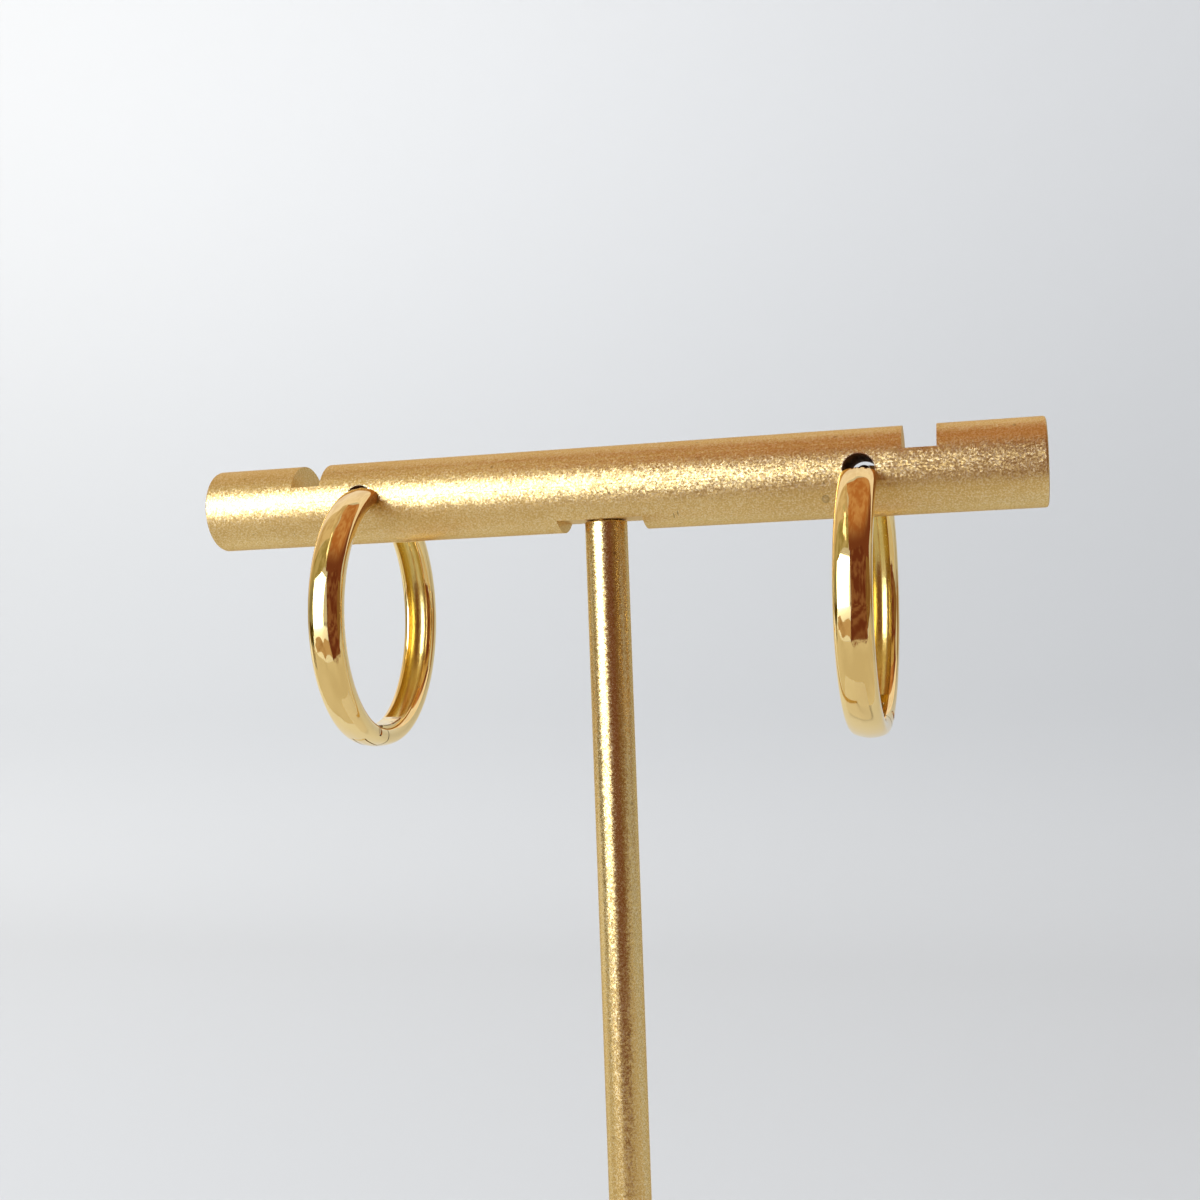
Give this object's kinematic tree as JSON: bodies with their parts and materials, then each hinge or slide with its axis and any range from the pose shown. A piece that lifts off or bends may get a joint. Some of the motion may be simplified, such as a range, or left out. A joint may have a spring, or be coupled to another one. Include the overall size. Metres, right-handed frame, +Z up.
{
  "type": "pair of hinged hoop earrings on a T-bar display stand",
  "caption": "Two polished hinged hoop earrings with hollow-backed bands, hung by their posts in the drilled crossbar of a small satin T-bar stand.",
  "frame": {"origin": "centre of the base's underside", "axes": "+Z up, X along the crossbar, -Y towards the viewer"},
  "size_m": [0.08, 0.08, 0.12],
  "materials": {
    "stand_metal": "sandblasted satin gold",
    "base_lacquer": "pale lacquer",
    "hoop_metal": "polished gold",
    "pin_metal": "polished gold, slightly duller"
  },
  "bodies": {
    "stand": {"crossbar": "stand_metal", "upright": "stand_metal", "base": "base_lacquer", "left_post_half": "hoop_metal", "right_post_half": "hoop_metal"},
    "left_catch": {"left_catch_half": "hoop_metal", "left_hinge_pin": "pin_metal"},
    "right_catch": {"right_catch_half": "hoop_metal", "right_hinge_pin": "pin_metal"}
  },
  "joints": [
    {"name": "left_hinge", "type": "hinge", "parent": "stand", "child": "left_catch", "pos_m": [-0.02337, -0.0046, 0.0938], "axis": [0.9997, 0.0192, -0.0115], "range_deg": [0, 60]},
    {"name": "right_hinge", "type": "hinge", "parent": "stand", "child": "right_catch", "pos_m": [0.02404, 0.00461, 0.09377], "axis": [-0.9993, 0.0349, 0.0164], "range_deg": [0, 60]}
  ]
}
